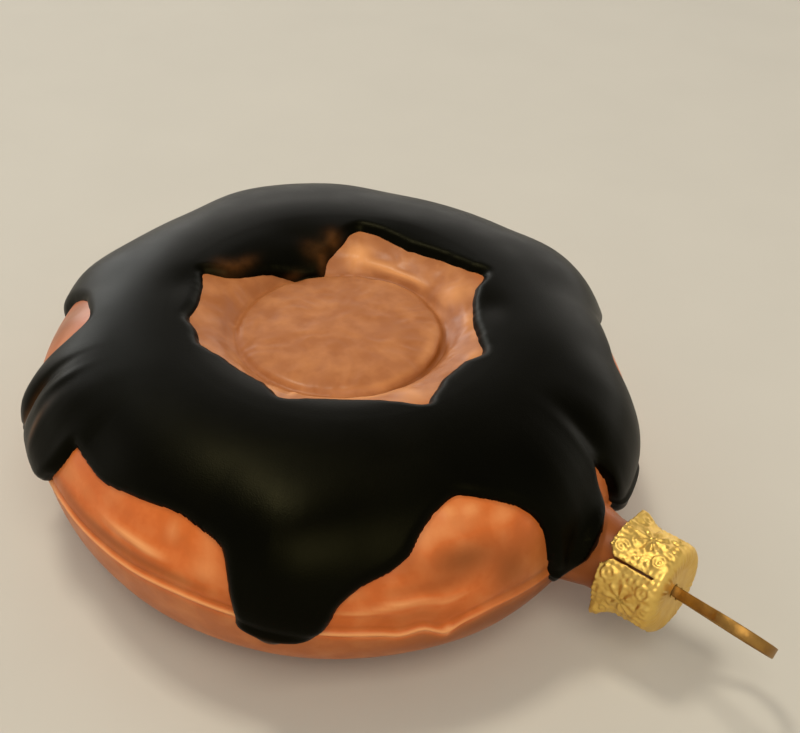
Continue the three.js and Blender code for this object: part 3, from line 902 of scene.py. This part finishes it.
first_row = AroundRing([(a, furthest(inner_edge, min, a)) for a in range(0, 360, 2)])
last_row = AroundRing([(a, furthest(outer_edge, max, a)) for a in range(0, 360, 2)])


class ORNAMENT_OT_icing(bpy.types.Operator):
    """Build the raised icing with its drips"""

    bl_idname = "ornament.icing"
    bl_label = "Icing"

    def execute(self, context):
        build_icing(context.scene.ornament_icing)
        return {"FINISHED"}


# ---------------------------------------------------------------- cap

class CapSettings(bpy.types.PropertyGroup):
    """Sizes and colours of the crown cap."""

    radius: length_setting("Radius", "Outer radius of the cap", 5.65, 1)
    wall: length_setting("Wall", "Thickness of the sheet", 0.35, 0.1)
    emboss: length_setting("Emboss", "Depth of the pressed pattern", 0.25)
    gilt: colour_setting("Gilt", "Pale gold of the sheet", (0.91, 0.77, 0.42))
    shade: colour_setting("Shade", "Deeper gold in patches", (0.87, 0.71, 0.37))


# The pressed pattern on each petal: a flower, small rings about it, and rows of dots.
FLOWER = {"along": 49.2, "ray_length": 2.5, "rays": 8}
ROSETTES = [(51.6, 24), (51.6, -24), (46.9, 27), (46.9, -27), (52.3, 0)]  # along, degrees
ROSETTE_RADIUS = 0.75
DOT_SPACING = 0.8
CAP_CORNERS = [  # petals' corners bent out or in: angle round the neck, and how far
    (307, 1.1), (322, -0.15), (143, 0.8), (126, -0.1), (217, 0.12), (231, -0.12), (50, 0.3),
]


def cap_relief(along, turn, settings):
    """Height of the pressed pattern at a place along the cap and an angle round a petal."""
    radius = settings.radius / MM
    petal = degrees_between(turn, CAP["slit_angle"] + 45)
    petal = (petal + 45) % 90 - 45
    across = math.radians(petal) * radius
    up = along - FLOWER["along"]
    from_middle = math.hypot(across, up)
    height = 0.0
    if from_middle < FLOWER["ray_length"]:
        ray = abs(math.cos(FLOWER["rays"] / 2 * math.atan2(across, up)))
        fade = 1 - smoothstep(from_middle, 0.75 * FLOWER["ray_length"], FLOWER["ray_length"])
        height += 0.9 * (ray ** 3) * fade
        height -= 0.5 * soft_spot(from_middle / 0.25, 0)
    else:
        cell_x = across / DOT_SPACING
        cell_y = along / DOT_SPACING
        away = math.hypot(cell_x - round(cell_x), cell_y - round(cell_y))
        height += 0.5 * soft_spot(away / 0.3, 0)
    for at, degrees in ROSETTES:
        side = math.radians(petal - degrees) * radius
        away = math.hypot(side, along - at)
        ring = soft_spot((away - ROSETTE_RADIUS) / 0.22, 0) + soft_spot(away / 0.25, 0)
        height = height * smoothstep(away, 0.9, 1.2) + 0.9 * ring
    wander = noise.noise(Vector((across * 1.9, along * 1.9, round(turn / 90))))
    return settings.emboss / MM * (height + 0.5 * wander)


def build_cap(settings):
    """A thin pressed cup with four petals parted by slits."""
    radius, wall = settings.radius / MM, settings.wall / MM
    corner = [(radius - CAP["rounding"] * (1 - math.sin(math.radians(a))),
               CAP["top"] - CAP["rounding"] * (1 - math.cos(math.radians(a))))
              for a in range(0, 91, 15)]
    flat = [(radius * k / 40, CAP["top"]) for k in range(32)]
    side_top, rows = CAP["top"] - CAP["rounding"], 44
    row = (side_top - CAP["mouth"]) / rows
    side = [(radius, side_top - row * k) for k in range(1, rows + 1)]
    made = spun_profile(flat + corner + side, 240)

    cut_slits(made, radius)
    for vert in made.verts:
        out = Vector((vert.co.x, vert.co.y, 0))
        along, turn = vert.co.z, math.degrees(math.atan2(vert.co.y, vert.co.x))
        rise = cap_relief(along, turn, settings)
        flare = CAP["flare"] * (1 - smoothstep(along, CAP["mouth"], CAP["mouth"] + 3))
        for corner, bend in CAP_CORNERS:
            side = math.radians(degrees_between(turn, corner)) * radius
            flare += bend * soft_spot(side / 1.2, (along - CAP["mouth"]) / 1.6)
        on_side = smoothstep(out.length, 0.55 * radius, 0.8 * radius)
        facing = smoothstep(along, CAP["top"] - CAP["rounding"], CAP["top"])
        if out.length > 1e-4:
            vert.co += out.normalized() * (flare + rise * on_side * (1 - facing))
        outer = smoothstep(out.length, 0.45 * radius, 0.75 * radius)
        vert.co.z += rise * 0.5 * facing * outer - 0.15 * facing
    bmesh.ops.recalc_face_normals(made, faces=made.faces)
    bmesh.ops.solidify(made, geom=made.faces[:], thickness=wall)
    made.transform(on_neck())
    bmesh.ops.recalc_face_normals(made, faces=made.faces)
    finish_piece("crown_cap", made, gilt_material(settings, "cap_gilt"), "cap")


def cut_slits(made, radius):
    """Deletes the faces in the four slits, the petals' notched corners and the legs' holes."""
    legs = [on_neck().inverted() @ (hanger_axes() @ Vector((0, side, 0)))
            for side in (-HANGER["leg_spacing"] / 2, HANGER["leg_spacing"] / 2)]
    gone = []
    for face in made.faces:
        centre = face.calc_center_median()
        up = centre.z - CAP["mouth"]
        turn = math.degrees(math.atan2(centre.y, centre.x))
        side = abs((turn - CAP["slit_angle"] + 45) % 90 - 45)
        side = math.radians(side) * radius
        in_slit = up < CAP["slit_length"] and side < CAP["slit_width"] / 2
        whole = abs(degrees_between(turn, CAP_CORNERS[0][0])) < 7
        in_notch = side + up < CAP["notch"] and not whole
        in_side = math.hypot(centre.x, centre.y) > 0.8 * radius
        by_leg = min((centre - leg).length for leg in legs) < CAP["leg_hole"]
        if in_side and (in_slit or in_notch) or by_leg:
            gone.append(face)
    bmesh.ops.delete(made, geom=gone, context="FACES")


def gilt_material(settings, name):
    """Thin gilt sheet: bright metal with tiny dents and patches of a deeper tone."""
    material, tree, shader = new_material(name)
    place = object_place(tree)
    clouds = spread(tree, noise_value(tree, place, 500, 3, 0.6), 0.35, 0.7)
    base = mixed(tree, clouds, colour(settings.shade), colour(settings.gilt))
    shader.inputs["Metallic"].default_value = 1.0
    rough = spread(tree, noise_value(tree, place, 900, 2, 0.5), 0.3, 0.7, 0.38, 0.5)
    dents = noise_value(tree, place, 1500, 3, 0.6)
    give_surface(tree, shader, base, rough, dents, strength=0.35, depth=0.1 * MM)
    return material


class ORNAMENT_OT_cap(bpy.types.Operator):
    """Build the embossed crown cap"""

    bl_idname = "ornament.cap"
    bl_label = "Crown Cap"

    def execute(self, context):
        build_cap(context.scene.ornament_cap)
        return {"FINISHED"}


# ---------------------------------------------------------------- hanger

class HangerSettings(bpy.types.PropertyGroup):
    """Sizes and colours of the bent strip."""

    width: length_setting("Width", "Width of the strip", 1.3, 0.2)
    thickness: length_setting("Thickness", "Thickness of the strip", 0.45, 0.1)
    gilt: colour_setting("Gilt", "Gold of the strip", (0.65, 0.49, 0.25))
    shade: colour_setting("Shade", "Dulled gold", (0.54, 0.40, 0.21))


def hanger_axes():
    """The strip's own axes: out of the cap, across the loop, and along the strip's width."""
    droop = math.radians(HANGER["droop"])
    out = Vector((math.cos(droop), 0, -math.sin(droop)))
    across = Matrix.Rotation(-math.radians(HANGER["roll"]), 3, out) @ Vector((0, -1, 0))
    width = out.cross(across)
    axes = Matrix((out, across, width)).transposed().to_4x4()
    return Matrix.Translation((CAP["top"], 0, NECK["height"])) @ axes


def build_hanger(settings):
    """A flat strip bent to a round loop, its two legs side by side in the cap."""
    middle = HANGER["loop"] - settings.thickness / MM / 2
    centre = HANGER["reach"] - HANGER["loop"]
    leg = HANGER["leg_spacing"] / 2
    path = [(-HANGER["leg_inside"], -leg), (-1.5, -leg), (0, -leg), (1.3, -leg - 0.25)]
    for k in range(-10, 11):
        turn = math.radians(HANGER["loop_turn"] * k / 10)
        path.append((centre + middle * math.cos(turn), middle * math.sin(turn)))
    path += [(x, -y) for x, y in reversed(path[:4])]
    path = smooth_through(path, 4)

    w, t = settings.width / MM / 2, settings.thickness / MM / 2
    made = bmesh.new()
    ring = None
    for i, (x, y) in enumerate(path):
        before, after = Vector(path[max(i - 1, 0)]), Vector(path[min(i + 1, len(path) - 1)])
        ahead = (after - before).normalized()
        verts = [made.verts.new((x - ahead.y * s, y + ahead.x * s, up))
                 for s, up in ((-t, -w), (t, -w), (t, w), (-t, w))]
        edges = [made.edges.new((verts[k], verts[(k + 1) % 4])) for k in range(4)]
        if ring:
            bmesh.ops.bridge_loops(made, edges=ring + edges)
        else:
            bmesh.ops.contextual_create(made, geom=edges)
        ring = edges
    bmesh.ops.contextual_create(made, geom=ring)
    bmesh.ops.recalc_face_normals(made, faces=made.faces)
    long_edges = [edge for edge in made.edges
                  if len(edge.link_faces) == 2 and edge.calc_face_angle() > 1.0]
    bmesh.ops.bevel(made, geom=long_edges, offset=0.1, offset_type="OFFSET", segments=2,
                    affect="EDGES", profile=0.5, material=-1)
    made.transform(hanger_axes())
    finish_piece("hanger_strip", made, gilt_material(settings, "hanger_gilt"), "hanger")


class ORNAMENT_OT_hanger(bpy.types.Operator):
    """Build the bent strip that the ornament hangs by"""

    bl_idname = "ornament.hanger"
    bl_label = "Hanger"

    def execute(self, context):
        build_hanger(context.scene.ornament_hanger)
        return {"FINISHED"}


# ---------------------------------------------------------------- stage

class StageSettings(bpy.types.PropertyGroup):
    """Floor, lights and camera."""

    floor: colour_setting("Floor", "Pale warm grey of the floor", (0.785, 0.765, 0.725))
    azimuth: angle_setting("Azimuth", "The camera's angle round the ornament", 42.5)
    elevation: angle_setting("Elevation", "The camera's angle above the floor", 37.5)
    distance: length_setting("Distance", "From the camera to the ring's centre", 176.4, 50)
    key: power_setting("Key light", "Power of the soft light overhead", 2.7)
    fill: power_setting("Fill light", "Power of the soft light on the side of the neck", 3.0)
    side: power_setting("Side light", "Power of the low light that gives the icing sheen", 3.0)
    wall: bpy.props.FloatProperty(
        name="Pale wall", description="Light from low down behind the ornament",
        default=1.5, min=0.0)


WARM = (1.0, 0.94, 0.8)
COOL = (0.93, 0.97, 1.0)
LIGHTS = {  # place, aim and size in metres in the frame, and tint
    "key": ((-0.31, 0.01, 0.86), (0, 0, 0), (0.2, 0.16), WARM),
    "fill": ((0.36, -0.34, 0.66), (0.12, -0.14, 0), (0.5, 0.5), WARM),
    "side": ((-1.3, 0.42, 0.38), (0, 0, 0.02), (0.6, 0.3), COOL),
}


def add_area_light(name, place, aim, size, tint, power):
    light = bpy.data.lights.new(name, "AREA")
    light.shape = "RECTANGLE"
    light.size, light.size_y = size
    light.energy = power
    light.color = tint
    lamp = bpy.data.objects.new(name, light)
    lamp.location = place
    lamp.rotation_euler = (Vector(aim) - Vector(place)).to_track_quat("-Z", "Y").to_euler()
    bpy.context.scene.collection.objects.link(lamp)


def add_camera(settings):
    """Stands the camera where the ring's centre falls at its place in the picture."""
    a, e = settings.azimuth, settings.elevation
    back = Vector((math.sin(a) * math.cos(e), -math.cos(a) * math.cos(e), math.sin(e)))
    right = Vector((math.cos(a), math.sin(a), 0))
    up = back.cross(right)
    base = Matrix((right, up, back)).transposed()
    x = (PICTURE["centre"][0] - PICTURE["width"] / 2) / PICTURE["focal_pixels"]
    y = -(PICTURE["centre"][1] - PICTURE["height"] / 2) / PICTURE["focal_pixels"]
    turn = Vector((0, 0, -1)).rotation_difference(Vector((x, y, -1))).to_matrix()
    data = bpy.data.cameras.new("camera")
    data.sensor_fit = "HORIZONTAL"
    data.sensor_width = 36
    data.lens = PICTURE["focal_pixels"] * data.sensor_width / PICTURE["width"]
    data.clip_start = 0.005
    camera = bpy.data.objects.new("camera", data)
    place = Matrix.Translation(RING_CENTRE + back * settings.distance)
    camera.matrix_world = place @ (base @ turn.inverted()).to_4x4()
    bpy.context.scene.collection.objects.link(camera)
    bpy.context.scene.camera = camera


def floor_material(settings):
    """Plain pale paper, a very little uneven in tone."""
    material, tree, shader = new_material("floor_paper")
    tone = colour(settings.floor)
    soft = spread(tree, noise_value(tree, object_place(tree), 40, 3, 0.5), 0.3, 0.7)
    dimmer = tuple(c * 0.97 for c in tone[:3]) + (1.0,)
    tree.links.new(mixed(tree, soft, dimmer, tone), shader.inputs["Base Color"])
    shader.inputs["Roughness"].default_value = 0.8
    return material


def add_world(settings):
    """The light of a room, brighter low down, with a pale wall on the ornament's far side."""
    world = bpy.data.worlds.new("studio")
    world.use_nodes = True
    tree = world.node_tree
    background = tree.nodes["Background"]
    background.inputs["Color"].default_value = (1.0, 0.96, 0.9, 1)
    way = add_node(tree, "ShaderNodeTexCoord").outputs["Generated"]
    split = add_node(tree, "ShaderNodeSeparateXYZ", {"Vector": way})
    height = split.outputs["Z"]
    room = spread(tree, height, 0.1, 0.75, 0.78, 0.28)
    behind = maths(tree, "SUBTRACT", split.outputs["Y"], split.outputs["X"])
    pale_wall = maths(tree, "MULTIPLY", spread(tree, behind, -0.15, 0.85),
                      spread(tree, height, 0.0, 0.55, settings.wall, 0.0))
    strength = maths(tree, "ADD", room, pale_wall)
    tree.links.new(strength, background.inputs["Strength"])
    bpy.context.scene.world = world


def build_stage(settings):
    """A pale floor, soft studio lights and the camera."""
    made = bmesh.new()
    bmesh.ops.create_grid(made, x_segments=1, y_segments=1, size=1.5)
    linked_object("floor", made, floor_material(settings))

    for name, lamp in LIGHTS.items():
        add_area_light(name + "_light", *lamp, getattr(settings, name))
    add_world(settings)
    add_camera(settings)
    bpy.context.scene.view_settings.view_transform = "Standard"


class ORNAMENT_OT_stage(bpy.types.Operator):
    """Add the floor, the lights and the camera"""

    bl_idname = "ornament.stage"
    bl_label = "Stage"

    def execute(self, context):
        build_stage(context.scene.ornament_stage)
        return {"FINISHED"}


class ORNAMENT_PT_panel(bpy.types.Panel):
    """Lists the ornament's pieces and their sizes"""

    bl_idname = "ORNAMENT_PT_panel"
    bl_label = "Glass Doughnut Ornament"
    bl_space_type = "VIEW_3D"
    bl_region_type = "UI"
    bl_category = "Ornament"

    def draw(self, context):
        for piece, group in GROUPS.items():
            box = self.layout.box()
            box.operator("ornament." + piece)
            settings = getattr(context.scene, "ornament_" + piece)
            for name in group.__annotations__:
                box.prop(settings, name)


GROUPS = {
    "dough": DoughSettings,
    "icing": IcingSettings,
    "cap": CapSettings,
    "hanger": HangerSettings,
    "stage": StageSettings,
}
OTHER_CLASSES = (
    ORNAMENT_OT_dough, ORNAMENT_OT_icing, ORNAMENT_OT_cap, ORNAMENT_OT_hanger,
    ORNAMENT_OT_stage, ORNAMENT_PT_panel,
)


def register():
    for piece, group in GROUPS.items():
        bpy.utils.register_class(group)
        setattr(bpy.types.Scene, "ornament_" + piece, bpy.props.PointerProperty(type=group))
    for item in OTHER_CLASSES:
        bpy.utils.register_class(item)


def unregister():
    for item in reversed(OTHER_CLASSES):
        bpy.utils.unregister_class(item)
    for piece, group in GROUPS.items():
        delattr(bpy.types.Scene, "ornament_" + piece)
        bpy.utils.unregister_class(group)


def main():
    register()
    bpy.ops.ornament.dough()
    bpy.ops.ornament.icing()
    bpy.ops.ornament.cap()
    bpy.ops.ornament.hanger()
    bpy.ops.ornament.stage()


if __name__ == "__main__":
    main()
